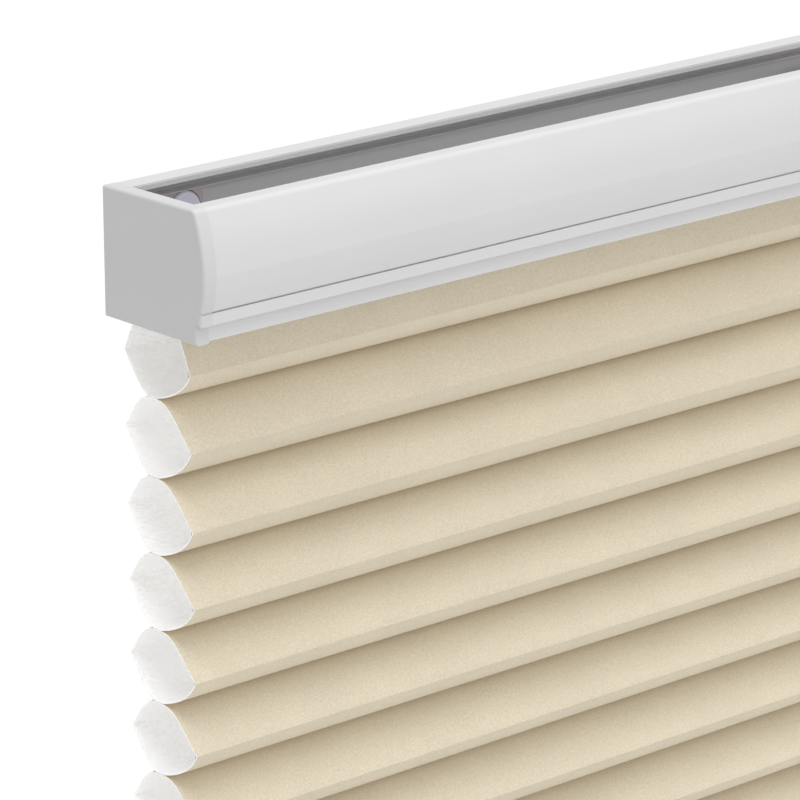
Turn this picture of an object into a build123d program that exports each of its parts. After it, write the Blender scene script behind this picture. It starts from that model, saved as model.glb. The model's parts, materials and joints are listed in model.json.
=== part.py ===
"""Cordless honeycomb (cellular) pleated blind, fully lowered.

Units are millimetres. +X runs along the width, the room side faces -Y and +Z is up. The origin is
on the rear face of the headrail, at its top edge and at the middle of its width.
"""
import os
from math import dist, exp, pi

from build123d import *

# ---- overall ---------------------------------------------------------------------------------
WIDTH = 600.0  # outside the two end caps
RAIL_DEPTH = 37.0  # rear face to the front lip
RAIL_HEIGHT = 35.0
FRONT_BULGE = 3.4  # how far the convex front stands out past the lip
BULGE_Z = -17.5  # height of the fullest point of the front
CORNER_Y = 0.3  # the front's upper corner, back from the lip plane
BAND_Y = -1.85  # narrow flat band below the curve
BAND_TOP_Z = -26.7
BAND_END_Z = -30.4
TOP_FRONT_RADIUS = 1.8
TOP_REAR_RADIUS = 0.8
HALF = WIDTH / 2

# ---- headrail extrusion ----------------------------------------------------------------------
RAIL_INSET = 0.1  # how far the rail's surface lies inside the end cap's
RAIL_WALL = 1.3
FRONT_FLANGE = 5.2  # inward flange along the front wall's top edge, from the front lip plane
REAR_FLANGE = 8.1  # inward flange along the rear wall's top edge
FLANGE_GROOVE = (29.3, 30.0)  # fine groove along the rear flange, back from the lip plane
FLANGE_GROOVE_Z = -0.8
FLOOR_TOP_Z = -29.3
FLOOR_UNDER_Z = -30.5
SEAT_Z = -33.9  # upper face of the two lips that carry the fabric
SLOT_FRONT = 12.7  # slot in the underside, measured back from the front lip plane
SLOT_REAR = 31.3
BAND_GROOVE = (0.7, 0.5)  # depth and height of the groove above the band
LIP_GROOVE = (0.5, 0.6)  # depth and height of the groove under the band
RIB_TOP_Z = -4.6  # sloping ledge along the inside of the rear wall
RIB_FRONT_Z = -5.15
RIB_UNDER_Z = -5.5
RIB_DEPTH = 1.8

# ---- end caps --------------------------------------------------------------------------------
CAP_THICK = 4.25
CAP_PLATE = 1.9
CAP_RIM = 2.6  # wall round the hollow on the cap's inner side
CAP_DROP = 0.55  # how far the cap's front corner hangs below the rail
CAP_EDGE = 0.9
CAP_MARK = 0.2  # depth of the shallow groove that carries the band's line across the cap
RAIL_HALF = HALF - CAP_THICK  # half length of the extrusion
TONGUE_REACH = 12.0
CHAMBER_TONGUE = (3.0, 9.0, -33.7, -30.8)  # y from and to, z from and to
FLOOR_TONGUE = (6.0, 13.0, -29.2, -26.0)

# ---- fabric ----------------------------------------------------------------------------------
FABRIC_HALF = HALF - 5.0
CLOTH = 0.3
GLUE_Y = 24.0  # centre of the glue lines, back from the front lip plane
GLUE_HALF = 1.7
MIDDLE_CELLS = 40
CELL_PITCH = 18.4  # cell height far down the drop
TOP_STRETCH = 3.2  # extra height of the upper cells, which carry the weight below them
STRETCH_CELLS = 6.0
FIRST_GLUE_Z = -55.2
FRONT_TIP_Y = 8.4
REAR_TIP_Y = 35.4
FRONT_TIP = 0.56  # share of the cell height at which the front crease lies
REAR_TIP = 0.46
LAST_CELL = 20.0
TOP_NECK_Z = -35.4

# ---- carrier strips --------------------------------------------------------------------------
STRIP_FRONT = 11.0
STRIP_REAR = 33.0
STRIP_THICK = 1.3
LOOP_GAP = 0.15

# ---- bottom rail -----------------------------------------------------------------------------
BOTTOM_FRONT = 7.0
BOTTOM_REAR = 37.0
BOTTOM_HEIGHT = 20.0
BOTTOM_WALL = 1.4
BOTTOM_RADIUS = 3.0
BOTTOM_WEB = 6.2  # depth of the strip channel below the rail's top face
BOTTOM_CAP = 1.6
BOTTOM_CAP_EDGE = 0.8
PLUG_GAP = 1.15  # between the cap's plug and each wall of the rail's lower chamber
PLUG_REACH = 8.0
JOINT_GAP = 0.05  # between the rail's end and its cap

# ---- lift cords and guide wheels -------------------------------------------------------------
CORD_R = 0.5
WHEEL_X = HALF - 15.0
WHEEL_Z = -12.2
WHEEL_R = 5.2
WHEEL_WIDTH = 5.0
WHEEL_CORE = 2.6
GROOVE_WIDTH = 3.0
WRAP = 3.2  # cord centre line to wheel centre
WRAP_FILLET = 3.0
SPOOL_FILLET = 4.3
CORD_SHIFT = 0.65  # the cord climbs this far either side of the wheel's middle plane
DROP_X = WHEEL_X - WRAP
DROP_HOLE_R = 1.4
PIN_R = 1.0
PIN_HEAD_R = 1.8
RUNNING_GAP = 0.05
GUIDE_SIZE = (14.0, 5.4)
GUIDE_X = HALF - 17.5
GUIDE_TOP_Z = -10.0
GUIDE_EDGE = 0.8
GUIDE_RIM = 1.5  # walls round the hollow in the guide block
GUIDE_WEB = 2.5
GUIDE_GAP = 0.4
PIN_HEAD = 0.8
PIN_REACH = 4.8

# ---- rear plates and their buttons -----------------------------------------------------------
PLATE_X = (5.0, 31.4)  # from the end cap's outer face
PLATE_Z = (-24.0, -5.6)
PLATE_THICK = 1.6
BUTTON_X = HALF - 25.1
BUTTON_Z = -10.75
BUTTON_R = 5.2
BUTTON_POCKET = 0.6
BUTTON_GAP = 0.35
BUTTON_THICK = 1.4
BUTTON_ROUND = 0.9

# ---- spring unit -----------------------------------------------------------------------------
AXLE_STEP = 23.0
UNIT_Y = -18.0
UNIT_HALF = 50.0
UNIT_WIDTH = 28.0
UNIT_WALL = 1.0
UNIT_FLOOR = 1.4
UNIT_TOP_Z = -11.2
COVER = 1.2
GEAR_TEETH = 23
GEAR_ROOT = 10.3
GEAR_TIP = 12.2
GEAR_THICK = 3.0
GEAR_Z = -27.3
DRUM_TOP_Z = -16.4
SPOOL_TOP_Z = -12.0
DRUM_FLANGE = 0.6
SPOOL_FLANGE_R = 8.0
TOOTH_ROOT_HALF = 0.75
TOOTH_TIP_HALF = 0.28
BAND_CORE = 5.6
BAND_COIL = 3.0  # thickness of the wound spring band
BAND_CLEAR = 0.3
BAND_LIFT = 0.5
BAND_TOP_GAP = 1.6
SPOOL_R = 4.4  # cord centre line to spool centre
POST_R = 1.5
BAND = 0.25
SCREW_R = 1.0
SCREW_BOSS = 1.2
SCREW_HEAD = (0.8, 0.9)  # how much wider than the shank, and how high
SCREW_LENGTH = 6.0
SCREW_AT = (46.5, 10.5)  # from the middle of the unit
NOTCH_HALF = 1.5  # notches where the cords leave the unit

# ---- cord anchors ----------------------------------------------------------------------------
ANCHOR_R = 4.0
ANCHOR_HEIGHT = 5.0
ANCHOR_BORE = 3.5
ANCHOR_KNOT = 3.0  # how far below the web the cord ends


def back(y):
    """A distance back from the front lip plane, as a row-frame Y."""
    return y - RAIL_DEPTH


def save(part, name):
    part.label = name
    export_step(part, f"parts/{name}.step")


def housing_outline(inset, drop):
    """Side profile shared by the end caps and the headrail, drawn inwards by inset.

    drop lowers the front lower corner, which the end caps carry a little further down.
    """
    fullest = (back(-FRONT_BULGE), BULGE_Z)
    with BuildSketch(Plane.YZ) as outline:
        with BuildLine():
            TangentArc(fullest, (back(CORNER_Y), 0), tangent=(0, 1))
            TangentArc(fullest, (back(BAND_Y), BAND_TOP_Z), tangent=(0, -1))
            Polyline(
                (back(BAND_Y), BAND_TOP_Z),
                (back(BAND_Y), BAND_END_Z),
                (back(0), BAND_END_Z),
                (back(0), -RAIL_HEIGHT - drop),
                (back(RAIL_DEPTH), -RAIL_HEIGHT),
                (back(RAIL_DEPTH), 0),
                (back(CORNER_Y), 0),
            )
        make_face()
        fillet(outline.vertices().group_by(Axis.Y)[-1].sort_by(Axis.X)[0], TOP_FRONT_RADIUS)
        fillet(outline.vertices().group_by(Axis.Y)[-1].sort_by(Axis.X)[-1], TOP_REAR_RADIUS)
        if inset:
            offset(amount=-inset, kind=Kind.INTERSECTION)
    return outline.sketch_local


def cell_height(index):
    return CELL_PITCH + TOP_STRETCH * exp(-index / STRETCH_CELLS)


def glue_lines():
    """Heights of every glue line, from the underside of the first cell downwards."""
    heights = [FIRST_GLUE_Z]
    for index in range(MIDDLE_CELLS):
        heights.append(heights[-1] - cell_height(index))
    return heights


GLUES = glue_lines()
BOTTOM_TOP_Z = GLUES[-1] - LAST_CELL
FABRIC_LENGTH = -RAIL_HEIGHT - BOTTOM_TOP_Z


def lower_half(top, height):
    """Lower front and rear walls of a cell, from the front crease round to the rear one."""
    floor = top - height
    return [
        (back(FRONT_TIP_Y), top - FRONT_TIP * height),
        (back(FRONT_TIP_Y + 2.3), top - (FRONT_TIP + 0.16) * height),
        (back(GLUE_Y - 8.0), top - 0.89 * height),
        (back(GLUE_Y - GLUE_HALF), floor),
        (back(GLUE_Y + GLUE_HALF), floor),
        (back(REAR_TIP_Y - 4.8), top - 0.86 * height),
        (back(REAR_TIP_Y), top - REAR_TIP * height),
    ]


def middle_cell(top, height):
    shoulder = top - 0.07 * height
    return lower_half(top, height) + [
        (back(REAR_TIP_Y - 5.8), shoulder),
        (back(GLUE_Y + GLUE_HALF), top),
        (back(GLUE_Y - GLUE_HALF), top),
        (back(GLUE_Y - 6.4), shoulder),
    ]


def strip_loop(neck_z, shelf_z, end_z):
    """The cloth that closes round a carrier strip, from the rear neck to the front neck."""
    return [
        (back(SLOT_REAR - 0.4), neck_z),
        (back(SLOT_REAR - 0.4), shelf_z),
        (back(STRIP_REAR + CLOTH + LOOP_GAP), shelf_z),
        (back(STRIP_REAR + CLOTH + LOOP_GAP), end_z),
        (back(STRIP_FRONT - CLOTH - LOOP_GAP), end_z),
        (back(STRIP_FRONT - CLOTH - LOOP_GAP), shelf_z),
        (back(SLOT_FRONT + 0.4), shelf_z),
        (back(SLOT_FRONT + 0.4), neck_z),
    ]


TOP_SHELF_Z = SEAT_Z + 0.1
TOP_LOOP_Z = TOP_SHELF_Z + 2 * (CLOTH + LOOP_GAP) + STRIP_THICK
BOTTOM_NECK_Z = BOTTOM_TOP_Z + 0.4
BOTTOM_SHELF_Z = BOTTOM_TOP_Z - BOTTOM_WALL - 0.1
BOTTOM_LOOP_Z = BOTTOM_SHELF_Z - 2 * (CLOTH + LOOP_GAP) - STRIP_THICK


def cell_outlines():
    first_top = TOP_NECK_Z
    first = lower_half(first_top, first_top - GLUES[0])
    first += strip_loop(TOP_NECK_Z, TOP_SHELF_Z, TOP_LOOP_Z)
    outlines = [first]
    for top, floor in zip(GLUES, GLUES[1:]):
        outlines.append(middle_cell(top, top - floor))
    top = GLUES[-1]
    last = [
        (back(GLUE_Y - GLUE_HALF), top),
        (back(GLUE_Y - 6.4), top - 0.07 * LAST_CELL),
        (back(FRONT_TIP_Y), top - FRONT_TIP * LAST_CELL),
    ]
    last += list(reversed(strip_loop(BOTTOM_NECK_Z, BOTTOM_SHELF_Z, BOTTOM_LOOP_Z)))
    last += [
        (back(REAR_TIP_Y), top - REAR_TIP * LAST_CELL),
        (back(REAR_TIP_Y - 5.8), top - 0.07 * LAST_CELL),
        (back(GLUE_Y + GLUE_HALF), top),
    ]
    outlines.append(last)
    return outlines


def drop_holes(radius, top_z, bottom_z):
    """Round holes on both lift cords' lines, cut from the part being built."""
    with BuildSketch(Plane.XY.offset(bottom_z)) as holes:
        with Locations((-DROP_X, back(GLUE_Y)), (DROP_X, back(GLUE_Y))):
            Circle(radius)
    extrude(holes.sketch, amount=top_z - bottom_z, mode=Mode.SUBTRACT)


def block(x, y, z, mode=Mode.ADD):
    """A box given by its low and high limits along each axis."""
    with Locations(((x[0] + x[1]) / 2, (y[0] + y[1]) / 2, (z[0] + z[1]) / 2)):
        Box(x[1] - x[0], y[1] - y[0], z[1] - z[0], mode=mode)


def rectangle(y, z, mode=Mode.ADD):
    """A rectangle in a YZ sketch, y measured back from the front lip plane."""
    with Locations((back((y[0] + y[1]) / 2), (z[0] + z[1]) / 2)):
        Rectangle(y[1] - y[0], z[1] - z[0], mode=mode)


os.makedirs("parts", exist_ok=True)

# ---- headrail --------------------------------------------------------------------------------
REAR_INSIDE = RAIL_DEPTH - RAIL_INSET - RAIL_WALL


def band_groove(depth):
    """Groove between the curved front and the band below it, cut to the given depth."""
    rectangle(
        (BAND_Y - 1, BAND_Y + RAIL_INSET + depth),
        (BAND_TOP_Z - BAND_GROOVE[1], BAND_TOP_Z),
        mode=Mode.SUBTRACT,
    )


with BuildPart() as headrail:
    with BuildSketch(Plane.YZ) as upper_cavity:
        add(housing_outline(RAIL_INSET + RAIL_WALL, 0))
        rectangle((-10, 50), (-60, FLOOR_TOP_Z), mode=Mode.SUBTRACT)
        rectangle((-10, BAND_Y + BAND_GROOVE[0] + RAIL_WALL), (-60, BAND_TOP_Z + 1), mode=Mode.SUBTRACT)
    with BuildSketch(Plane.YZ) as rail_section:
        add(housing_outline(RAIL_INSET, 0))
        add(upper_cavity.sketch_local, mode=Mode.SUBTRACT)
        rectangle((FRONT_FLANGE, RAIL_DEPTH - REAR_FLANGE), (-6, 5), mode=Mode.SUBTRACT)
        rectangle((RAIL_INSET + RAIL_WALL + LIP_GROOVE[0], REAR_INSIDE), (SEAT_Z, FLOOR_UNDER_Z),
                  mode=Mode.SUBTRACT)
        rectangle((SLOT_FRONT, SLOT_REAR), (-40, SEAT_Z), mode=Mode.SUBTRACT)
        rectangle(FLANGE_GROOVE, (FLANGE_GROOVE_Z, 1), mode=Mode.SUBTRACT)
        band_groove(BAND_GROOVE[0])
        rectangle(
            (-1, RAIL_INSET + LIP_GROOVE[0]),
            (BAND_END_Z + RAIL_INSET - LIP_GROOVE[1], BAND_END_Z + RAIL_INSET),
            mode=Mode.SUBTRACT,
        )
        with BuildLine():
            Polyline(
                (back(REAR_INSIDE + RAIL_INSET), RIB_TOP_Z),
                (back(REAR_INSIDE), RIB_TOP_Z),
                (back(REAR_INSIDE - RIB_DEPTH), RIB_FRONT_Z),
                (back(REAR_INSIDE - RIB_DEPTH), RIB_UNDER_Z),
                (back(REAR_INSIDE + RAIL_INSET), RIB_UNDER_Z),
                close=True,
            )
        make_face()
    extrude(rail_section.sketch, amount=RAIL_HALF, both=True)
    drop_holes(DROP_HOLE_R, FLOOR_TOP_Z + 1, FLOOR_UNDER_Z - 1)
save(headrail.part, "headrail")


# ---- end caps --------------------------------------------------------------------------------
def end_cap(name, side):
    """Moulded cap: an end plate with a hollow rim, and two tongues that push into the rail."""
    with BuildPart() as cap:
        with BuildSketch(Plane.YZ.offset(-HALF)):
            add(housing_outline(0, CAP_DROP))
            band_groove(CAP_MARK)
        extrude(amount=CAP_THICK)
        fillet(cap.edges().group_by(Axis.X)[0], CAP_EDGE)
        with BuildSketch(Plane.YZ.offset(-HALF + CAP_PLATE)):
            add(housing_outline(CAP_RIM, 0))
        extrude(amount=CAP_THICK, mode=Mode.SUBTRACT)
        for front_y, rear_y, low_z, high_z in (CHAMBER_TONGUE, FLOOR_TONGUE):
            block(
                (-HALF + CAP_PLATE - 0.2, -HALF + TONGUE_REACH),
                (back(front_y), back(rear_y)),
                (low_z, high_z),
            )
        if side > 0:
            mirror(about=Plane.YZ, mode=Mode.REPLACE)
    save(cap.part, name)


end_cap("end_cap_left", -1)
end_cap("end_cap_right", 1)

# ---- honeycomb fabric ------------------------------------------------------------------------
with BuildPart() as fabric:
    with BuildSketch(Plane.YZ) as cells:
        for outline in cell_outlines():
            with BuildLine():
                Polyline(*outline, close=True)
            make_face()
        for outline in cell_outlines():
            with BuildSketch(Plane.YZ, mode=Mode.PRIVATE) as hollow:
                with BuildLine():
                    Polyline(*outline, close=True)
                make_face()
                offset(amount=-CLOTH, kind=Kind.INTERSECTION)
            add(hollow.sketch_local, mode=Mode.SUBTRACT)
    extrude(cells.sketch, amount=FABRIC_HALF, both=True)
    drop_holes(DROP_HOLE_R, 0, BOTTOM_TOP_Z - BOTTOM_HEIGHT)
save(fabric.part, "honeycomb_fabric")


# ---- carrier strips --------------------------------------------------------------------------
def carrier_strip(name, middle_z):
    """Flat strip with rounded long edges that the end loop of the cloth closes round."""
    with BuildPart() as strip:
        block(
            (-FABRIC_HALF, FABRIC_HALF),
            (back(STRIP_FRONT), back(STRIP_REAR)),
            (middle_z - STRIP_THICK / 2, middle_z + STRIP_THICK / 2),
        )
        fillet(strip.edges().filter_by(Axis.X), STRIP_THICK * 0.4)
        drop_holes(DROP_HOLE_R, middle_z + 2, middle_z - 2)
    save(strip.part, name)


carrier_strip("top_carrier_strip", (TOP_SHELF_Z + TOP_LOOP_Z) / 2)
carrier_strip("bottom_carrier_strip", (BOTTOM_SHELF_Z + BOTTOM_LOOP_Z) / 2)

# ---- bottom rail -----------------------------------------------------------------------------
BOTTOM_MID_Y = (BOTTOM_FRONT + BOTTOM_REAR) / 2
BOTTOM_DEPTH = BOTTOM_REAR - BOTTOM_FRONT
BOTTOM_Z = BOTTOM_TOP_Z - BOTTOM_HEIGHT
CHAMBER_MID_Z = (BOTTOM_TOP_Z - BOTTOM_WEB + BOTTOM_Z + BOTTOM_WALL) / 2
with BuildPart() as bottom_rail:
    inner = (BOTTOM_FRONT + BOTTOM_WALL, BOTTOM_REAR - BOTTOM_WALL)
    with BuildSketch(Plane.YZ) as bottom_section:
        with Locations((back(BOTTOM_MID_Y), BOTTOM_TOP_Z - BOTTOM_HEIGHT / 2)):
            RectangleRounded(BOTTOM_DEPTH, BOTTOM_HEIGHT, BOTTOM_RADIUS)
        rectangle(inner, (BOTTOM_TOP_Z - BOTTOM_WEB + BOTTOM_WALL, BOTTOM_TOP_Z - BOTTOM_WALL),
                  mode=Mode.SUBTRACT)
        rectangle((SLOT_FRONT, SLOT_REAR), (BOTTOM_TOP_Z - 2, BOTTOM_TOP_Z + 2), mode=Mode.SUBTRACT)
        with Locations((back(BOTTOM_MID_Y), CHAMBER_MID_Z)):
            RectangleRounded(
                BOTTOM_DEPTH - 2 * BOTTOM_WALL,
                BOTTOM_HEIGHT - BOTTOM_WEB - BOTTOM_WALL,
                BOTTOM_RADIUS - BOTTOM_WALL,
                mode=Mode.SUBTRACT,
            )
    extrude(bottom_section.sketch, amount=HALF - BOTTOM_CAP - JOINT_GAP, both=True)
    drop_holes(DROP_HOLE_R, BOTTOM_TOP_Z - 3, BOTTOM_TOP_Z - BOTTOM_WEB - 2)
save(bottom_rail.part, "bottom_rail")


def bottom_rail_cap(name, side):
    """End plate with a plug that fills the rail's lower chamber."""
    with BuildPart() as cap:
        with BuildSketch(Plane.YZ.offset(HALF - BOTTOM_CAP)):
            with Locations((back(BOTTOM_MID_Y), BOTTOM_TOP_Z - BOTTOM_HEIGHT / 2)):
                RectangleRounded(BOTTOM_DEPTH, BOTTOM_HEIGHT, BOTTOM_RADIUS)
        extrude(amount=BOTTOM_CAP)
        fillet(cap.edges().group_by(Axis.X)[-1], BOTTOM_CAP_EDGE)
        with BuildSketch(Plane.YZ.offset(HALF - BOTTOM_CAP)):
            with Locations((back(BOTTOM_MID_Y), CHAMBER_MID_Z)):
                Rectangle(
                    BOTTOM_DEPTH - 2 * (BOTTOM_WALL + PLUG_GAP),
                    BOTTOM_HEIGHT - BOTTOM_WEB - BOTTOM_WALL - 2 * PLUG_GAP,
                )
        extrude(amount=-PLUG_REACH)
        if side < 0:
            mirror(about=Plane.YZ, mode=Mode.REPLACE)
    save(cap.part, name)


bottom_rail_cap("bottom_rail_cap_left", -1)
bottom_rail_cap("bottom_rail_cap_right", 1)


# ---- guide blocks, wheels and pins ------------------------------------------------------------
WHEEL_Y = back(GLUE_Y)
WHEEL_REAR_Y = WHEEL_Y + WHEEL_WIDTH / 2
GUIDE_FRONT_Y = WHEEL_REAR_Y + GUIDE_GAP


def cord_guide(name, side):
    """Moulded block on the rail floor that carries the wheel's pin."""
    size_x, size_y = GUIDE_SIZE
    middle = side * GUIDE_X
    with BuildPart() as guide:
        block(
            (middle - size_x / 2, middle + size_x / 2),
            (GUIDE_FRONT_Y, GUIDE_FRONT_Y + size_y),
            (FLOOR_TOP_Z, GUIDE_TOP_Z),
        )
        fillet(guide.edges().filter_by(Axis.Z), GUIDE_EDGE)
        block(
            (middle - size_x / 2 + GUIDE_RIM, middle + size_x / 2 - GUIDE_RIM),
            (GUIDE_FRONT_Y + GUIDE_WEB, GUIDE_FRONT_Y + size_y + 1),
            (FLOOR_TOP_Z + GUIDE_RIM, WHEEL_Z - WHEEL_CORE),
            mode=Mode.SUBTRACT,
        )
        with BuildSketch(Plane.XZ.offset(-GUIDE_FRONT_Y)) as pin_hole:
            with Locations((side * WHEEL_X, WHEEL_Z)):
                Circle(PIN_R)
        extrude(pin_hole.sketch, amount=-PIN_REACH - 0.2, mode=Mode.SUBTRACT)
    save(guide.part, name)


def guide_wheel(name, side):
    """Grooved cord wheel that turns on the pin."""
    half_width = WHEEL_WIDTH / 2
    with BuildPart() as wheel:
        with BuildSketch(Plane.XY):
            with BuildLine():
                Polyline(
                    (PIN_R + RUNNING_GAP, -half_width),
                    (WHEEL_R, -half_width),
                    (WHEEL_R, -GROOVE_WIDTH / 2 - 0.3),
                    (WHEEL_CORE, -GROOVE_WIDTH / 2 + 0.1),
                    (WHEEL_CORE, GROOVE_WIDTH / 2 - 0.1),
                    (WHEEL_R, GROOVE_WIDTH / 2 + 0.3),
                    (WHEEL_R, half_width),
                    (PIN_R + RUNNING_GAP, half_width),
                    close=True,
                )
            make_face()
        revolve(axis=Axis.Y)
    wheel.part.locate(Location((side * WHEEL_X, WHEEL_Y, WHEEL_Z)))
    save(wheel.part, name)


def wheel_pin(name, side):
    """Headed pin pressed into the guide block."""
    head_y = WHEEL_Y - WHEEL_WIDTH / 2 - 0.15
    with BuildPart() as pin:
        with BuildSketch(Plane.XZ.offset(-head_y)):
            with Locations((side * WHEEL_X, WHEEL_Z)):
                Circle(PIN_HEAD_R)
        extrude(amount=PIN_HEAD)
        with BuildSketch(Plane.XZ.offset(-head_y)):
            with Locations((side * WHEEL_X, WHEEL_Z)):
                Circle(PIN_R)
        extrude(amount=-(GUIDE_FRONT_Y + PIN_REACH - head_y))
    save(pin.part, name)


PLATE_FACE_Y = back(REAR_INSIDE - PLATE_THICK)
POCKET_Y = PLATE_FACE_Y + BUTTON_POCKET


def rear_plate(name, side):
    """Moulded plate against the rear wall, under the ledge, with a round pocket for its button."""
    near, far = sorted((side * (HALF - PLATE_X[0]), side * (HALF - PLATE_X[1])))
    with BuildPart() as plate:
        block((near, far), (PLATE_FACE_Y, back(REAR_INSIDE)), PLATE_Z)
        with BuildSketch(Plane.XZ.offset(-POCKET_Y)) as pocket:
            with Locations((side * BUTTON_X, BUTTON_Z)):
                Circle(BUTTON_R + BUTTON_GAP)
        extrude(pocket.sketch, amount=BUTTON_POCKET + 1, mode=Mode.SUBTRACT)
    save(plate.part, name)


def plate_button(name, side):
    """Low button with a rounded edge, seated in the plate's pocket."""
    with BuildPart() as button:
        with BuildSketch(Plane.XZ.offset(-POCKET_Y)):
            with Locations((side * BUTTON_X, BUTTON_Z)):
                Circle(BUTTON_R)
        extrude(amount=BUTTON_THICK)
        fillet(button.edges().group_by(Axis.Y)[0], BUTTON_ROUND)
    save(button.part, name)


for label, sign in (("left", -1), ("right", 1)):
    rear_plate(f"rear_plate_{label}", sign)
    plate_button(f"plate_button_{label}", sign)
    cord_guide(f"cord_guide_{label}", sign)
    guide_wheel(f"guide_wheel_{label}", sign)
    wheel_pin(f"wheel_pin_{label}", sign)

# ---- spring unit -----------------------------------------------------------------------------
AXLES = {
    "storage_drum": -1.5 * AXLE_STEP,
    "output_drum": -0.5 * AXLE_STEP,
    "cord_spool_left": 0.5 * AXLE_STEP,
    "cord_spool_right": 1.5 * AXLE_STEP,
}
UNIT_Y_RANGE = (UNIT_Y - UNIT_WIDTH / 2, UNIT_Y + UNIT_WIDTH / 2)
CORD_RUN_Z = WHEEL_Z - WRAP
CORD_RUN_Y = WHEEL_Y - CORD_SHIFT
SCREW_SPOTS = [
    (side_x * SCREW_AT[0], UNIT_Y + side_y * SCREW_AT[1]) for side_x in (-1, 1) for side_y in (-1, 1)
]
with BuildPart() as spring_unit_base:
    block((-UNIT_HALF, UNIT_HALF), UNIT_Y_RANGE, (FLOOR_TOP_Z, UNIT_TOP_Z))
    block(
        (-UNIT_HALF + UNIT_WALL, UNIT_HALF - UNIT_WALL),
        (UNIT_Y_RANGE[0] + UNIT_WALL, UNIT_Y_RANGE[1] - UNIT_WALL),
        (FLOOR_TOP_Z + UNIT_FLOOR, UNIT_TOP_Z + 1),
        mode=Mode.SUBTRACT,
    )
    with BuildSketch(Plane.XY.offset(FLOOR_TOP_Z + UNIT_FLOOR)):
        with Locations(*[(x, UNIT_Y) for x in AXLES.values()]):
            Circle(POST_R)
    extrude(amount=UNIT_TOP_Z - FLOOR_TOP_Z - UNIT_FLOOR - 0.1)
    with BuildSketch(Plane.XY.offset(FLOOR_TOP_Z + UNIT_FLOOR)):
        with Locations(*SCREW_SPOTS):
            Circle(SCREW_R + SCREW_BOSS)
    extrude(amount=UNIT_TOP_Z - FLOOR_TOP_Z - UNIT_FLOOR)
    with BuildSketch(Plane.XY.offset(UNIT_TOP_Z - SCREW_LENGTH)) as pilot_holes:
        with Locations(*SCREW_SPOTS):
            Circle(SCREW_R)
    extrude(pilot_holes.sketch, amount=SCREW_LENGTH + 1, mode=Mode.SUBTRACT)
    for end in (-1, 1):
        block(
            (end * UNIT_HALF - 2, end * UNIT_HALF + 2),
            (CORD_RUN_Y - NOTCH_HALF, CORD_RUN_Y + NOTCH_HALF),
            (CORD_RUN_Z - NOTCH_HALF, 0),
            mode=Mode.SUBTRACT,
        )
save(spring_unit_base.part, "spring_unit_base")

with BuildPart() as spring_unit_cover:
    block((-UNIT_HALF, UNIT_HALF), UNIT_Y_RANGE, (UNIT_TOP_Z, UNIT_TOP_Z + COVER))
    fillet(spring_unit_cover.edges().filter_by(Axis.Z), 2.0)
    with BuildSketch(Plane.XY.offset(UNIT_TOP_Z)) as cover_holes:
        with Locations(*SCREW_SPOTS):
            Circle(SCREW_R + 0.15)
    extrude(cover_holes.sketch, amount=COVER, mode=Mode.SUBTRACT)
save(spring_unit_cover.part, "spring_unit_cover")

with BuildPart() as cover_screws:
    with BuildSketch(Plane.XY.offset(UNIT_TOP_Z + COVER)):
        with Locations(*SCREW_SPOTS):
            Circle(SCREW_R + SCREW_HEAD[0])
    extrude(amount=SCREW_HEAD[1])
    with BuildSketch(Plane.XY.offset(UNIT_TOP_Z + COVER)):
        with Locations(*SCREW_SPOTS):
            Circle(SCREW_R)
    extrude(amount=-SCREW_LENGTH)
save(cover_screws.part, "cover_screws")


def geared_drum(name, top_z, core_r, flange_r, teeth):
    """Turned drum on a post: a toothed or plain rim at the bottom, a core and a top flange."""
    with BuildPart() as drum:
        with BuildSketch(Plane.XY.offset(GEAR_Z)):
            Circle(GEAR_ROOT)
            for tooth in range(teeth):
                with PolarLocations(0, 1, start_angle=360 * tooth / teeth):
                    with BuildLine():
                        Polyline(
                            (GEAR_ROOT - 0.3, -TOOTH_ROOT_HALF),
                            (GEAR_TIP, -TOOTH_TIP_HALF),
                            (GEAR_TIP, TOOTH_TIP_HALF),
                            (GEAR_ROOT - 0.3, TOOTH_ROOT_HALF),
                            close=True,
                        )
                    make_face()
        extrude(amount=GEAR_THICK)
        with BuildSketch(Plane.XY.offset(GEAR_Z + GEAR_THICK)):
            Circle(core_r)
        extrude(amount=top_z - GEAR_Z - GEAR_THICK)
        with BuildSketch(Plane.XY.offset(top_z - DRUM_FLANGE)):
            Circle(flange_r)
        extrude(amount=DRUM_FLANGE)
        with BuildSketch(Plane.XY.offset(GEAR_Z - 1)) as bore:
            Circle(POST_R + RUNNING_GAP)
        extrude(bore.sketch, amount=top_z - GEAR_Z + 3, mode=Mode.SUBTRACT)
    drum.part.locate(Location((AXLES[name], UNIT_Y, 0)))
    save(drum.part, name)


SPOOL_CORE_R = SPOOL_R - CORD_R - 0.1
geared_drum("storage_drum", DRUM_TOP_Z, BAND_CORE, BAND_CORE, 0)
geared_drum("output_drum", DRUM_TOP_Z, BAND_CORE, BAND_CORE, GEAR_TEETH)
geared_drum("cord_spool_left", SPOOL_TOP_Z, SPOOL_CORE_R, SPOOL_FLANGE_R, GEAR_TEETH)
geared_drum("cord_spool_right", SPOOL_TOP_Z, SPOOL_CORE_R, SPOOL_FLANGE_R, GEAR_TEETH)

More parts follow.
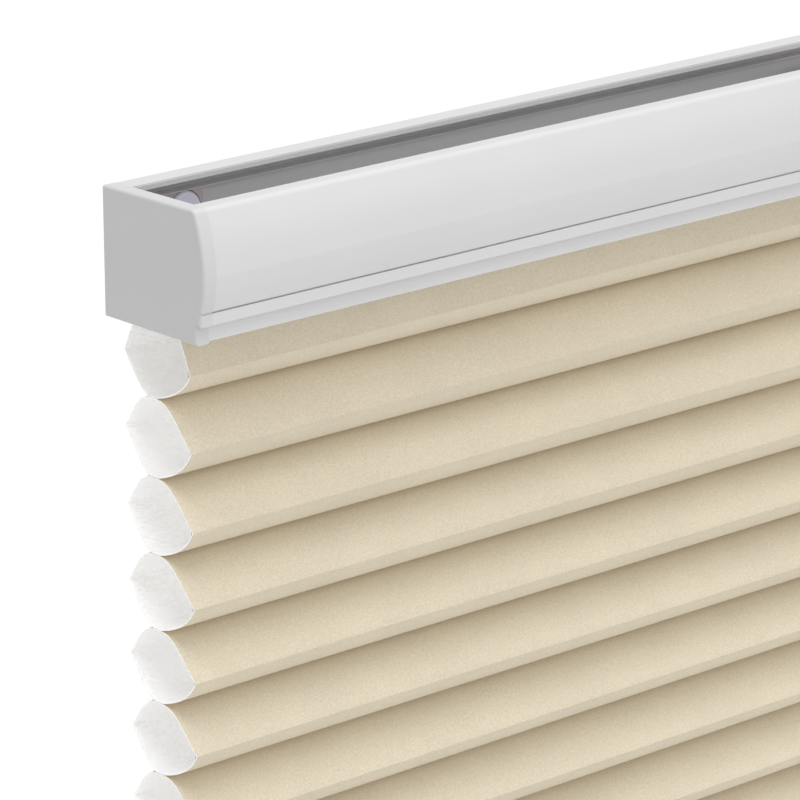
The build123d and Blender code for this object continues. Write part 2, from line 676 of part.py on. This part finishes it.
with BuildPart() as spring_band:
    band_low = GEAR_Z + GEAR_THICK + BAND_LIFT
    band_inner = BAND_CORE + BAND_CLEAR
    band_outer = band_inner + BAND_COIL
    band_middle = (AXLES["storage_drum"] + AXLES["output_drum"]) / 2
    with BuildSketch(Plane.XY.offset(band_low)):
        with Locations((AXLES["storage_drum"], UNIT_Y)):
            Circle(band_outer)
            Circle(band_inner, mode=Mode.SUBTRACT)
        with Locations((AXLES["output_drum"], UNIT_Y)):
            Circle(band_outer)
            Circle(band_outer - 2 * BAND, mode=Mode.SUBTRACT)
        with Locations((band_middle, UNIT_Y + band_outer - BAND / 2)):
            Rectangle(AXLE_STEP, BAND)
    extrude(amount=DRUM_TOP_Z - band_low - BAND_TOP_GAP)
save(spring_band.part, "spring_band")


# ---- lift cords and their anchors --------------------------------------------------------------
CORD_END_Z = BOTTOM_TOP_Z - BOTTOM_WEB - ANCHOR_KNOT


def lift_cord(name, side, spool_x):
    """Braided cord: half a turn on its spool, along the rail, round the wheel and down to the anchor."""
    run_y = CORD_RUN_Y
    drop_y = WHEEL_Y + CORD_SHIFT
    spool_back_y = UNIT_Y - SPOOL_R
    outer = side * (WHEEL_X + WRAP)
    route = [
        (spool_x, spool_back_y, CORD_RUN_Z),
        (spool_x - side * SPOOL_R, spool_back_y, CORD_RUN_Z),
        (spool_x - side * SPOOL_R, run_y, CORD_RUN_Z),
        (outer, run_y, CORD_RUN_Z),
        (outer, WHEEL_Y, WHEEL_Z + WRAP),
        (side * DROP_X, drop_y, WHEEL_Z + WRAP),
        (side * DROP_X, drop_y, CORD_END_Z),
    ]
    with BuildPart() as cord:
        with BuildLine() as path:
            FilletPolyline(*route, radius=[SPOOL_FILLET] * 2 + [WRAP_FILLET] * 3)
        with BuildSketch(Plane(origin=path.line @ 0, z_dir=path.line % 0)):
            Circle(CORD_R)
        sweep()
    length = path.wires()[0].length
    print(name, "length", round(length, 1), "mm, tube volume over section times length",
          round(cord.part.volume / (pi * CORD_R**2 * length), 4))
    save(cord.part, name)


lift_cord("lift_cord_left", -1, AXLES["cord_spool_left"])
lift_cord("lift_cord_right", 1, AXLES["cord_spool_right"])


def cord_anchor(name, side):
    """Button under the bottom rail's web that the knotted cord end seats in."""
    top_z = BOTTOM_TOP_Z - BOTTOM_WEB
    with BuildPart() as anchor:
        with BuildSketch(Plane.XY.offset(top_z)):
            with Locations((side * DROP_X, WHEEL_Y)):
                Circle(ANCHOR_R)
        extrude(amount=-ANCHOR_HEIGHT)
        with BuildSketch(Plane.XY.offset(top_z)) as bore:
            with Locations((side * DROP_X, WHEEL_Y)):
                Circle(DROP_HOLE_R)
        extrude(bore.sketch, amount=-ANCHOR_BORE, mode=Mode.SUBTRACT)
    save(anchor.part, name)


cord_anchor("cord_anchor_left", -1)
cord_anchor("cord_anchor_right", 1)

print("fabric length below the headrail", round(FABRIC_LENGTH, 2))
print("bottom rail top", round(BOTTOM_TOP_Z, 2), "lowest point", round(BOTTOM_Z, 2))
SAMPLE_CELL = middle_cell(0, CELL_PITCH)
STRIP_CUT = sum(dist(SAMPLE_CELL[i - 1], SAMPLE_CELL[i]) for i in range(len(SAMPLE_CELL)))
print("cut length of one cell's strip", round(STRIP_CUT, 2))
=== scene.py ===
"""Cordless honeycomb blind: materials, folded cell fabric, lift cords, camera and studio."""
import json
import math
import random

import bpy
from mathutils import Matrix, Vector


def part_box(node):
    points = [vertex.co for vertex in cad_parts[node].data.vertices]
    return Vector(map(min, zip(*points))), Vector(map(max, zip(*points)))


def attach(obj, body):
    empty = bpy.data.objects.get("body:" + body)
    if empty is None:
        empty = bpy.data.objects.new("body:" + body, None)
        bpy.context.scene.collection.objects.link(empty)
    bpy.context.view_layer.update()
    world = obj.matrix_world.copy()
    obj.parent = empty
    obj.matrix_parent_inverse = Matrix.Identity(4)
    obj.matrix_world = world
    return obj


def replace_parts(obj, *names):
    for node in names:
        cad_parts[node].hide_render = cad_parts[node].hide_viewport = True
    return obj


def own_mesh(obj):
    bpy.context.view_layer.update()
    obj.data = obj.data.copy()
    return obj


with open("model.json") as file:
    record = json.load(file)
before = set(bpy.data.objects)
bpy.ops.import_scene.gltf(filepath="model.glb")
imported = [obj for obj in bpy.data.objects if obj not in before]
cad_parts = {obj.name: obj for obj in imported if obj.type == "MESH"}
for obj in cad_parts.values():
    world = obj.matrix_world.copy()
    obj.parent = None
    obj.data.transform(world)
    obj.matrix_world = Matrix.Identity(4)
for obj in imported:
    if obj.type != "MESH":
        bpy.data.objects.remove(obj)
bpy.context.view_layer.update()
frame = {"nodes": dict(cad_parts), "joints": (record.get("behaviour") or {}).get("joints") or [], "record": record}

MM = 0.001
NODES = frame["nodes"]
JOINTS = {joint["name"]: joint for joint in frame["joints"]}

# ---- the frame's measures, in metres ----------------------------------------------------------
FABRIC_LOW, FABRIC_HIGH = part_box("honeycomb_fabric")
BOTTOM_LOW, BOTTOM_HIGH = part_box("bottom_rail")
LIFT = JOINTS["bottom_rail_lift"]
RAIL_UNDERSIDE = LIFT["deforming_nodes"][0]["fixed_end_z_m"]


# ---- materials: noise scales are per metre, bump depths are in metres --------------------------
COAT_ROUGHNESS = 0.25


def new_material(name, rough, specular=0.5, coat=0.0, sheen=0.0):
    mat = bpy.data.materials.new(name)
    mat.use_nodes = True
    shader = mat.node_tree.nodes["Principled BSDF"]
    shader.inputs["Roughness"].default_value = rough
    shader.inputs["Specular IOR Level"].default_value = specular
    shader.inputs["Coat Weight"].default_value = coat
    shader.inputs["Coat Roughness"].default_value = COAT_ROUGHNESS
    shader.inputs["Sheen Weight"].default_value = sheen
    return mat, mat.node_tree, shader


def node(tree, kind, **values):
    """A new shader node; each value goes to the input of that name, or else to the property."""
    made = tree.nodes.new(kind)
    for key, value in values.items():
        socket = made.inputs.get(key)
        if socket is None:
            setattr(made, key, value)
        else:
            socket.default_value = value
    return made


def place(tree, scale=(1, 1, 1)):
    """Object coordinates in metres, stretched by scale."""
    coords = node(tree, "ShaderNodeTexCoord")
    mapping = node(tree, "ShaderNodeMapping", Scale=scale)
    tree.links.new(coords.outputs["Object"], mapping.inputs["Vector"])
    return mapping.outputs["Vector"]


def noise(tree, where, scale, detail, rough=0.6):
    made = node(tree, "ShaderNodeTexNoise", Scale=scale, Detail=detail, Roughness=rough)
    tree.links.new(where, made.inputs["Vector"])
    return made.outputs["Fac"]


def ramp(tree, factor, low, high, start=0.35, end=0.65):
    made = node(tree, "ShaderNodeValToRGB")
    made.color_ramp.elements[0].position = start
    made.color_ramp.elements[1].position = end
    made.color_ramp.elements[0].color = (*low, 1)
    made.color_ramp.elements[1].color = (*high, 1)
    tree.links.new(factor, made.inputs["Fac"])
    return made.outputs["Color"]


def bump(tree, shader, height, distance, strength=1.0, below=None):
    made = node(tree, "ShaderNodeBump", Strength=strength, Distance=distance)
    tree.links.new(height, made.inputs["Height"])
    if below is not None:
        tree.links.new(below, made.inputs["Normal"])
    tree.links.new(made.outputs["Normal"], shader.inputs["Normal"])
    return made.outputs["Normal"]


def tinted(color, share):
    return tuple(c * share for c in color)


DRIFT_SCALE, DRIFT_TINT = 18, 0.975
GLOSS_SCALE, GLOSS_BELOW, GLOSS_ABOVE = 90, 0.04, 0.05
PEBBLE_DEPTH = 0.00001


def moulding(name, color, rough, grain=2500, coat=0.0):
    """Moulded or coated surface: a very fine pebble, and a faint drift in tone and gloss."""
    mat, tree, shader = new_material(name, rough, coat=coat)
    where = place(tree)
    drift = noise(tree, where, DRIFT_SCALE, 3)
    tone = ramp(tree, drift, tinted(color, DRIFT_TINT), color)
    tree.links.new(tone, shader.inputs["Base Color"])
    gloss = node(tree, "ShaderNodeMapRange")
    gloss.inputs["To Min"].default_value = rough - GLOSS_BELOW
    gloss.inputs["To Max"].default_value = rough + GLOSS_ABOVE
    tree.links.new(noise(tree, where, GLOSS_SCALE, 3), gloss.inputs["Value"])
    tree.links.new(gloss.outputs["Result"], shader.inputs["Roughness"])
    bump(tree, shader, noise(tree, where, grain, 2), PEBBLE_DEPTH)
    return mat


METAL_ROUGHNESS = 0.32
BRUSH_SCALE, BRUSH_TINT, BRUSH_DEPTH = 900, 0.8, 0.000008


def brushed_metal(name, color, stretch):
    """Metal with fine lines along the axis that stretch makes long."""
    mat, tree, shader = new_material(name, METAL_ROUGHNESS)
    shader.inputs["Metallic"].default_value = 1.0
    lines = noise(tree, place(tree, stretch), BRUSH_SCALE, 5)
    tone = ramp(tree, lines, tinted(color, BRUSH_TINT), color)
    tree.links.new(tone, shader.inputs["Base Color"])
    bump(tree, shader, lines, BRUSH_DEPTH)
    return mat


CLOTH_ROUGHNESS, CLOTH_SPECULAR = 0.86, 0.25
SHEEN_ROUGHNESS = 0.6
TRANSLUCENCY = 0.25
SPECK_SCALE, SPECK_DETAIL, SPECK_ROUGHNESS = 1900, 6, 0.85
SPECK_START, SPECK_END = 0.4, 0.6
CLOUD_SCALE, CLOUD_TINT = 60, 0.965
FIBRE_SCALE, FIBRE_DETAIL, FIBRE_ROUGHNESS = 2600, 5, 0.8
FIBRE_STRETCH, FIBRE_DEPTH, FIBRE_STRENGTH = (0.45, 1, 1), 0.00004, 0.8
PRESS_SCALE, PRESS_DEPTH, PRESS_STRENGTH = 260, 0.0001, 0.5


def cloth(name, color, speck, through_color, sheen, painted_glow=0.0):
    """Pressed non-woven cloth: short flat fibres, a fine speckle and a slow cloudiness; painted_glow, when given,
    adds a painted glow, the cloth's colour given out as emission.
    """
    mat, tree, shader = new_material(name, CLOTH_ROUGHNESS, CLOTH_SPECULAR, sheen=sheen)
    shader.inputs["Sheen Roughness"].default_value = SHEEN_ROUGHNESS
    where = place(tree)
    fine = noise(tree, where, SPECK_SCALE, SPECK_DETAIL, SPECK_ROUGHNESS)
    speckled = ramp(tree, fine, tinted(color, 1 - speck), color, SPECK_START, SPECK_END)
    cloud = ramp(tree, noise(tree, where, CLOUD_SCALE, 4), [CLOUD_TINT] * 3, [1] * 3)
    mix = node(tree, "ShaderNodeMix", data_type="RGBA", blend_type="MULTIPLY")
    mix.inputs["Factor"].default_value = 1.0
    color_inputs = [s for s in mix.inputs if s.type == "RGBA"]
    mixed = next(s for s in mix.outputs if s.type == "RGBA")
    tree.links.new(speckled, color_inputs[0])
    tree.links.new(cloud, color_inputs[1])
    tree.links.new(mixed, shader.inputs["Base Color"])
    # painted glow: the cloth's own colour is given out as emission, so the cloth lights itself like a lamp
    if painted_glow:
        tree.links.new(mixed, shader.inputs["Emission Color"])
        shader.inputs["Emission Strength"].default_value = painted_glow
    through = node(tree, "ShaderNodeBsdfTranslucent", Color=(*through_color, 1))
    both = node(tree, "ShaderNodeMixShader", Fac=TRANSLUCENCY)
    tree.links.new(shader.outputs["BSDF"], both.inputs[1])
    tree.links.new(through.outputs["BSDF"], both.inputs[2])
    tree.links.new(both.outputs["Shader"], tree.nodes["Material Output"].inputs["Surface"])
    pressed = noise(tree, where, PRESS_SCALE, 3)
    stretched = place(tree, FIBRE_STRETCH)
    fibres = noise(tree, stretched, FIBRE_SCALE, FIBRE_DETAIL, FIBRE_ROUGHNESS)
    under = bump(tree, shader, pressed, PRESS_DEPTH, PRESS_STRENGTH)
    bump(tree, shader, fibres, FIBRE_DEPTH, FIBRE_STRENGTH, below=under)
    return mat


BRAID_ROUGHNESS, BRAID_SPECULAR, BRAID_SHEEN = 0.75, 0.3, 0.2
BRAID_SCALE, BRAID_DISTORTION, BRAID_TINT, BRAID_DEPTH = 900, 1.5, 0.8, 0.0001


def braid(name, color):
    """Fine braided cord: diagonal bands of light and shade."""
    mat, tree, shader = new_material(name, BRAID_ROUGHNESS, BRAID_SPECULAR, sheen=BRAID_SHEEN)
    wave = node(tree, "ShaderNodeTexWave", Scale=BRAID_SCALE, Distortion=BRAID_DISTORTION)
    wave.bands_direction = "DIAGONAL"
    tree.links.new(place(tree), wave.inputs["Vector"])
    tone = ramp(tree, wave.outputs["Fac"], tinted(color, BRAID_TINT), color)
    tree.links.new(tone, shader.inputs["Base Color"])
    bump(tree, shader, wave.outputs["Fac"], BRAID_DEPTH)
    return mat


MATERIALS = {
    "white_paint": moulding("white_paint", (0.58, 0.58, 0.58), 0.42, grain=3200, coat=0.15),
    "white_moulding": moulding("white_moulding", (0.54, 0.54, 0.542), 0.5, grain=1800),
    "strip_plastic": moulding("strip_plastic", (0.64, 0.63, 0.6), 0.6),
    "grey_moulding": moulding("grey_moulding", (0.52, 0.45, 0.47), 0.55, grain=1500),
    "wheel_nylon": moulding("wheel_nylon", (0.80, 0.78, 0.90), 0.4),
    "steel": brushed_metal("steel", (0.62, 0.62, 0.64), stretch=(0.1, 1, 1)),
    "cord_braid": braid("cord_braid", (0.8, 0.79, 0.75)),
}
INSIDE_PAINTED_GLOW = 0.4  # painted glow: emission that lights the cloth's inside and the open cell ends, standing in for the daylight that comes through the cloth
CLOTH_OUT = cloth(
    "cloth_outside", (0.80, 0.733, 0.59), speck=0.24, through_color=(0.62, 0.49, 0.29), sheen=0.25
)
CLOTH_IN = cloth(
    "cloth_inside",
    (0.93, 0.94, 0.96),
    speck=0.26,
    through_color=(0.9, 0.9, 0.9),
    sheen=0.1,
    painted_glow=INSIDE_PAINTED_GLOW,
)

for part in frame["record"]["subparts"]:
    if part["material_slot"] in MATERIALS:
        mesh = NODES[part["node"]].data
        mesh.materials.clear()
        mesh.materials.append(MATERIALS[part["material_slot"]])


# ---- honeycomb fabric: depths and heights in millimetres, depths measured back from LIP_Y ------
LIP_Y = -37.0 * MM
CLOTH_THICK = 0.3
CELL_PITCH = 18.4
TOP_STRETCH = 3.2
STRETCH_CELLS = 6.0
MIDDLE_CELLS = 40
FIRST_GLUE = -55.2
LAST_CELL = 20.0
FRONT_GLUE, REAR_GLUE = 22.3, 25.7
GLUE_GAP = 0.04
STEPS = 9

# A cell's four walls: its creases, and the two handles of each curve, as (depth, share of the
# cell's height, from its top).
FRONT_TIP, FRONT_SHARE = 8.5, 0.55
REAR_TIP, REAR_SHARE = 35.3, 0.45
FRONT_LOWER = ((10.3, 0.72), (14.0, 0.9))
REAR_LOWER = ((29.5, 0.93), (32.0, 0.68))
REAR_UPPER = ((32.2, 0.25), (29.8, 0.0))
FRONT_UPPER = ((17.0, 0.0), (13.5, 0.31))

# The cloth passes the slot in each rail between NECK's two depths and wraps the strip inside.
NECK = (13.1, 30.9)
NECK_GAP = 0.4
WRAP_GAP = 0.45
SHELF_GAP = 0.4
TOP_WRAP_GAP = 0.8

# The small unevenness of hung cloth: (height in millimetres, radians per metre of width) pairs.
SPANS = 12
SEED = 7
WANDER = ((0.10, 9), (0.06, 23))
DROOP = ((0.08, 11), (0.05, 31))
UNEVEN_DEPTH = 14.0
MITRE_LIMIT = 0.35


def bezier(a, b, c, d):
    """Points of one cubic, without its last."""
    points = []
    for i in range(STEPS):
        t = i / STEPS
        s = 1 - t
        weights = (s**3, 3 * s * s * t, 3 * s * t * t, t**3)
        points.append(tuple(sum(w * p[k] for w, p in zip(weights, (a, b, c, d))) for k in (0, 1)))
    return points


def in_cell(top, height, *spots):
    """(depth, share) spots as (depth, height) points of the cell."""
    return [(y, top - share * height) for y, share in spots]


def lower_walls(top, height):
    """From the front crease down to the glue line and up to the rear crease."""
    floor = 1 - GLUE_GAP / height
    front_glue, rear_glue = (FRONT_GLUE, floor), (REAR_GLUE, floor)
    rear_tip = (REAR_TIP, REAR_SHARE)
    front = bezier(*in_cell(top, height, (FRONT_TIP, FRONT_SHARE), *FRONT_LOWER, front_glue))
    rear = bezier(*in_cell(top, height, rear_glue, *REAR_LOWER, rear_tip))
    return front + in_cell(top, height, front_glue) + rear + in_cell(top, height, rear_tip)


def upper_walls(top, height):
    """From the rear crease up to the glue line and down towards the front crease."""
    ceiling = GLUE_GAP / height
    rear_glue, front_glue = (REAR_GLUE, ceiling), (FRONT_GLUE, ceiling)
    front_tip = (FRONT_TIP, FRONT_SHARE)
    rear = bezier(*in_cell(top, height, (REAR_TIP, REAR_SHARE), *REAR_UPPER, rear_glue))
    front = bezier(*in_cell(top, height, front_glue, *FRONT_UPPER, front_tip))
    return rear[1:] + in_cell(top, height, rear_glue) + front


def loop_round_strip(strip, neck_z, shelf_z, end_z):
    """From the rear of the neck round a carrier strip to the front of the neck."""
    front, rear = NECK
    low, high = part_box(strip)
    near = (low.y - LIP_Y) / MM - WRAP_GAP
    far = (high.y - LIP_Y) / MM + WRAP_GAP
    inside = [(rear, shelf_z), (far, shelf_z), (far, end_z), (near, end_z), (near, shelf_z)]
    return [(rear, neck_z), *inside, (front, shelf_z), (front, neck_z)]


def cell_outlines():
    """Closed outlines (depth, height), each starting at the front crease."""
    glues = [FIRST_GLUE]
    for index in range(MIDDLE_CELLS):
        glues.append(glues[-1] - CELL_PITCH - TOP_STRETCH * math.exp(-index / STRETCH_CELLS))
    neck = RAIL_UNDERSIDE / MM - NECK_GAP
    low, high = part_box("top_carrier_strip")
    shelf_z, end_z = low.z / MM - SHELF_GAP, high.z / MM + TOP_WRAP_GAP
    loop = loop_round_strip("top_carrier_strip", neck, shelf_z, end_z)
    outlines = [lower_walls(neck, neck - glues[0]) + loop]
    for top, floor in zip(glues, glues[1:]):
        outlines.append(lower_walls(top, top - floor) + upper_walls(top, top - floor))
    tips = in_cell(glues[-1], LAST_CELL, (FRONT_TIP, FRONT_SHARE), (REAR_TIP, REAR_SHARE))
    last_floor = [(y, BOTTOM_HIGH.z / MM + NECK_GAP) for y in NECK]
    outlines.append([tips[0], *last_floor, tips[1], *upper_walls(glues[-1], LAST_CELL)])
    return outlines


def hem_outline():
    """The cloth inside the bottom rail, round its strip: it moves with the rail and isn't squashed."""
    neck = BOTTOM_HIGH.z / MM - 0.5 * NECK_GAP
    low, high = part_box("bottom_carrier_strip")
    shelf_z, end_z = high.z / MM + SHELF_GAP, low.z / MM - WRAP_GAP
    return loop_round_strip("bottom_carrier_strip", neck, shelf_z, end_z)[::-1]


def inner_outline(points):
    """The outline moved inwards by the cloth's thickness, with mitred corners."""
    count = len(points)
    area = sum(
        points[i][0] * points[(i + 1) % count][1] - points[(i + 1) % count][0] * points[i][1]
        for i in range(count)
    )
    turn = 1 if area > 0 else -1
    moved = []
    for i, point in enumerate(points):
        before, after = Vector(points[i - 1]), Vector(points[(i + 1) % count])
        here = Vector(point)
        first, second = (here - before).normalized(), (after - here).normalized()
        normal_a = Vector((-first.y, first.x)) * turn
        normal_b = Vector((-second.y, second.x)) * turn
        mid = (normal_a + normal_b).normalized()
        reach = CLOTH_THICK / max(mid.dot(normal_a), MITRE_LIMIT)
        moved.append(tuple(here + mid * reach))
    return moved


def tube_points(outline, rng):
    """The outer and inner outlines at each step across the width, slightly uneven."""
    phases = [rng.uniform(0, 2 * math.pi) for _ in WANDER + DROOP]
    inner = inner_outline(outline)
    centre = 0.5 * (FRONT_GLUE + REAR_GLUE)
    points = []
    for span in range(SPANS + 1):
        x = FABRIC_LOW.x + (FABRIC_HIGH.x - FABRIC_LOW.x) * span / SPANS
        waves = [size * math.sin(rate * x + p) for (size, rate), p in zip(WANDER + DROOP, phases)]
        wander, droop = sum(waves[:2]), sum(waves[2:])
        for y, z in outline + inner:
            reach = min(abs(y - centre) / UNEVEN_DEPTH, 1.0)
            points.append((x, LIP_Y + (y + wander * reach) * MM, (z + droop * reach) * MM))
    return points


OUTSIDE, INSIDE = 0, 1


def tube_faces(first, count):
    """(quad, material) pairs of one tube whose points start at first, with count points a ring."""
    stride = 2 * count
    faces = []
    for span in range(SPANS):
        base = first + span * stride
        for i in range(count):
            j = (i + 1) % count
            faces.append(((base + i, base + j, base + stride + j, base + stride + i), OUTSIDE))
            a, b = base + count + i, base + count + j
            faces.append(((b, a, a + stride, b + stride), INSIDE))
    for base, order in ((first, 1), (first + SPANS * stride, -1)):
        for i in range(count):
            j = (i + 1) % count
            quad = (base + i, base + count + i, base + count + j, base + j)
            faces.append((quad[::order], INSIDE))
    return faces


def sharp_edges(first, count, rear_crease):
    """The two creases along the tube, and the rims of its two cut ends."""
    stride = 2 * count
    edges = set()
    for base in range(first, first + SPANS * stride, stride):
        for corner in (0, rear_crease, count, count + rear_crease):
            edges.add((base + corner, base + corner + stride))
    for ring in (0, count, SPANS * stride, SPANS * stride + count):
        base = first + ring
        for i in range(count):
            edges.add(tuple(sorted((base + i, base + (i + 1) % count))))
    return edges


def add_object(name, data):
    made = bpy.data.objects.new(name, data)
    bpy.context.scene.collection.objects.link(made)
    return made


def cloth_tubes(name, outlines):
    """Each outline as an open-ended tube of cloth: beige outside, white inside and on its cut ends."""
    rng = random.Random(SEED)
    points, faces, sharp = [], [], set()
    for outline in outlines:
        count = len(outline)
        rear_crease = max(range(count), key=lambda i: outline[i][0])
        faces += tube_faces(len(points), count)
        sharp |= sharp_edges(len(points), count, rear_crease)
        points += tube_points(outline, rng)
    mesh = bpy.data.meshes.new(name)
    mesh.from_pydata(points, [], [quad for quad, _ in faces])
    mesh.materials.append(CLOTH_OUT)
    # cloth_inside carries the painted glow that brightens the tubes' insides and their open cut ends
    mesh.materials.append(CLOTH_IN)
    mesh.polygons.foreach_set("material_index", [kind for _, kind in faces])
    mesh.polygons.foreach_set("use_smooth", [True] * len(faces))
    for edge in mesh.edges:
        if tuple(sorted(edge.vertices)) in sharp:
            edge.use_edge_sharp = True
    mesh.validate()
    mesh.update()
    return add_object(name, mesh)


CELLS, HEM = cell_outlines(), hem_outline()
fabric = cloth_tubes("cell_fabric", CELLS)
hem = cloth_tubes("fabric_hem", [HEM])
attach(hem, "bottom_rail")
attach(fabric, "headrail")
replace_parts(fabric, "honeycomb_fabric")
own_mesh(fabric)

# ---- lift cords, in millimetres ----------------------------------------------------------------
CORD_RADIUS = 0.5
CORD_ROUNDNESS = 3
CORD_SMOOTHNESS = 8
WHEEL_WRAP = 3.2
SPOOL_WRAP = 4.4
SPOOL_LEAD = 6.0
LANE = 0.65  # the cord reaches the wheel in front of its middle and leaves it behind the middle
STRAIGHT_SHARE = 0.9
END_CLEAR = 0.2


def tube(name, route, body):
    """A smooth cord along a route."""
    curve = bpy.data.curves.new(name, "CURVE")
    curve.dimensions = "3D"
    curve.bevel_depth = CORD_RADIUS * MM
    curve.bevel_resolution = CORD_ROUNDNESS
    curve.resolution_u = CORD_SMOOTHNESS
    curve.use_fill_caps = True
    spline = curve.splines.new("NURBS")
    spline.points.add(len(route) - 1)
    for point, spot in zip(spline.points, route):
        point.co = (*(c * MM for c in spot), 1)
    spline.order_u = 3
    spline.use_endpoint_u = True
    source = add_object(name, curve)
    bpy.context.view_layer.update()
    depsgraph = bpy.context.evaluated_depsgraph_get()
    mesh = bpy.data.meshes.new_from_object(source.evaluated_get(depsgraph))
    bpy.data.objects.remove(source)
    mesh.materials.clear()
    mesh.materials.append(MATERIALS["cord_braid"])
    mesh.polygons.foreach_set("use_smooth", [True] * len(mesh.polygons))
    made = add_object(name, mesh)
    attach(made, body)
    return made


def lift_cord(side, word):
    """The run in the headrail, and the drop inside the cells down to the cord's end."""
    wheel_x, wheel_y, wheel_z = (c / MM for c in JOINTS[f"wheel_{word}_spin"]["pos_m"])
    spool_x, spool_y, _ = (c / MM for c in JOINTS[f"spool_{word}_spin"]["pos_m"])
    spool_front = spool_y - SPOOL_WRAP
    spool_side = spool_x - side * SPOOL_WRAP
    run_y, drop_y = wheel_y - LANE, wheel_y + LANE
    over, under = wheel_z + WHEEL_WRAP, wheel_z - WHEEL_WRAP
    outer, inner = wheel_x + side * WHEEL_WRAP, wheel_x - side * WHEEL_WRAP
    exit_z = RAIL_UNDERSIDE / MM
    run = [
        (spool_x, spool_front, under),
        (spool_side, spool_front, under),
        (spool_side, run_y, under),
        (spool_x + side * SPOOL_LEAD, run_y, under),
        (wheel_x * STRAIGHT_SHARE, run_y, under),
        (outer, run_y, under),
        (outer, wheel_y, over),
        (inner, drop_y, over),
        (inner, drop_y, under),
        (inner, drop_y, exit_z),
    ]
    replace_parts(tube(f"cord_run_{word}", run, "headrail"), f"lift_cord_{word}")
    end_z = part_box(f"lift_cord_{word}")[0].z / MM + END_CLEAR
    drop = [(inner, drop_y, z) for z in (exit_z, 0.5 * (exit_z + end_z), end_z)]
    hanging = tube(f"cord_drop_{word}", drop, "headrail")
    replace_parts(hanging, f"lift_cord_{word}")
    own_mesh(hanging)


lift_cord(-1, "left")
lift_cord(1, "right")

# ---- camera ------------------------------------------------------------------------------------
CAMERA_SPOT = Vector((-1.0647, -0.9620, 0.3104))
YAW, PITCH, ROLL = (math.radians(a) for a in (42.04, 16.72, -0.29))
SENSOR_MM, LENS_MM = 36.0, 222.0
VIEW_DEPTH = 100.0

camera_data = bpy.data.cameras.new("camera")
camera_data.sensor_width = SENSOR_MM
camera_data.lens = LENS_MM
camera_data.clip_end = VIEW_DEPTH
camera = add_object("camera", camera_data)
level = math.cos(PITCH)
look = Vector((math.sin(YAW) * level, math.cos(YAW) * level, -math.sin(PITCH)))
turned = look.to_track_quat("-Z", "Y").to_matrix().to_4x4()
camera.matrix_world = Matrix.Translation(CAMERA_SPOT) @ turned @ Matrix.Rotation(ROLL, 4, "Z")
bpy.context.scene.camera = camera

# ---- studio ------------------------------------------------------------------------------------
FLOOR_HALF = 14.0
FLOOR_DROP = 0.01
FLOOR_TONE, FLOOR_ROUGHNESS, FLOOR_SPECULAR = 0.72, 0.9, 0.1
WORLD_STRENGTH = 0.6
SUN_SPREAD = math.radians(60)

floor_mesh = bpy.data.meshes.new("floor")
floor_z = BOTTOM_LOW.z - FLOOR_DROP
signs = ((-1, -1), (1, -1), (1, 1), (-1, 1))
corners = [(x * FLOOR_HALF, y * FLOOR_HALF, floor_z) for x, y in signs]
floor_mesh.from_pydata(corners, [], [(0, 1, 2, 3)])
floor_material, _, floor_shader = new_material("floor_pale", FLOOR_ROUGHNESS, FLOOR_SPECULAR)
floor_shader.inputs["Base Color"].default_value = (FLOOR_TONE, FLOOR_TONE, FLOOR_TONE, 1)
floor_mesh.materials.append(floor_material)
floor = add_object("floor", floor_mesh)

world = bpy.data.worlds.new("studio")
bpy.context.scene.world = world
world.use_nodes = True
background = world.node_tree.nodes["Background"]
background.inputs["Color"].default_value = (1, 1, 1, 1)
background.inputs["Strength"].default_value = WORLD_STRENGTH


def soft_sun(name, heading, strength):
    """A broad soft source from one side; heading points from the light to the blind."""
    data = bpy.data.lights.new(name, "SUN")
    data.energy = strength * math.pi
    data.angle = SUN_SPREAD
    made = add_object(name, data)
    made.rotation_euler = Vector(heading).to_track_quat("-Z", "Y").to_euler()


soft_sun("overhead", (0.0, 0.16, -1.0), 0.75)
soft_sun("front", (-0.25, 0.88, -0.34), 0.24)
bpy.context.scene.view_settings.view_transform = "Standard"
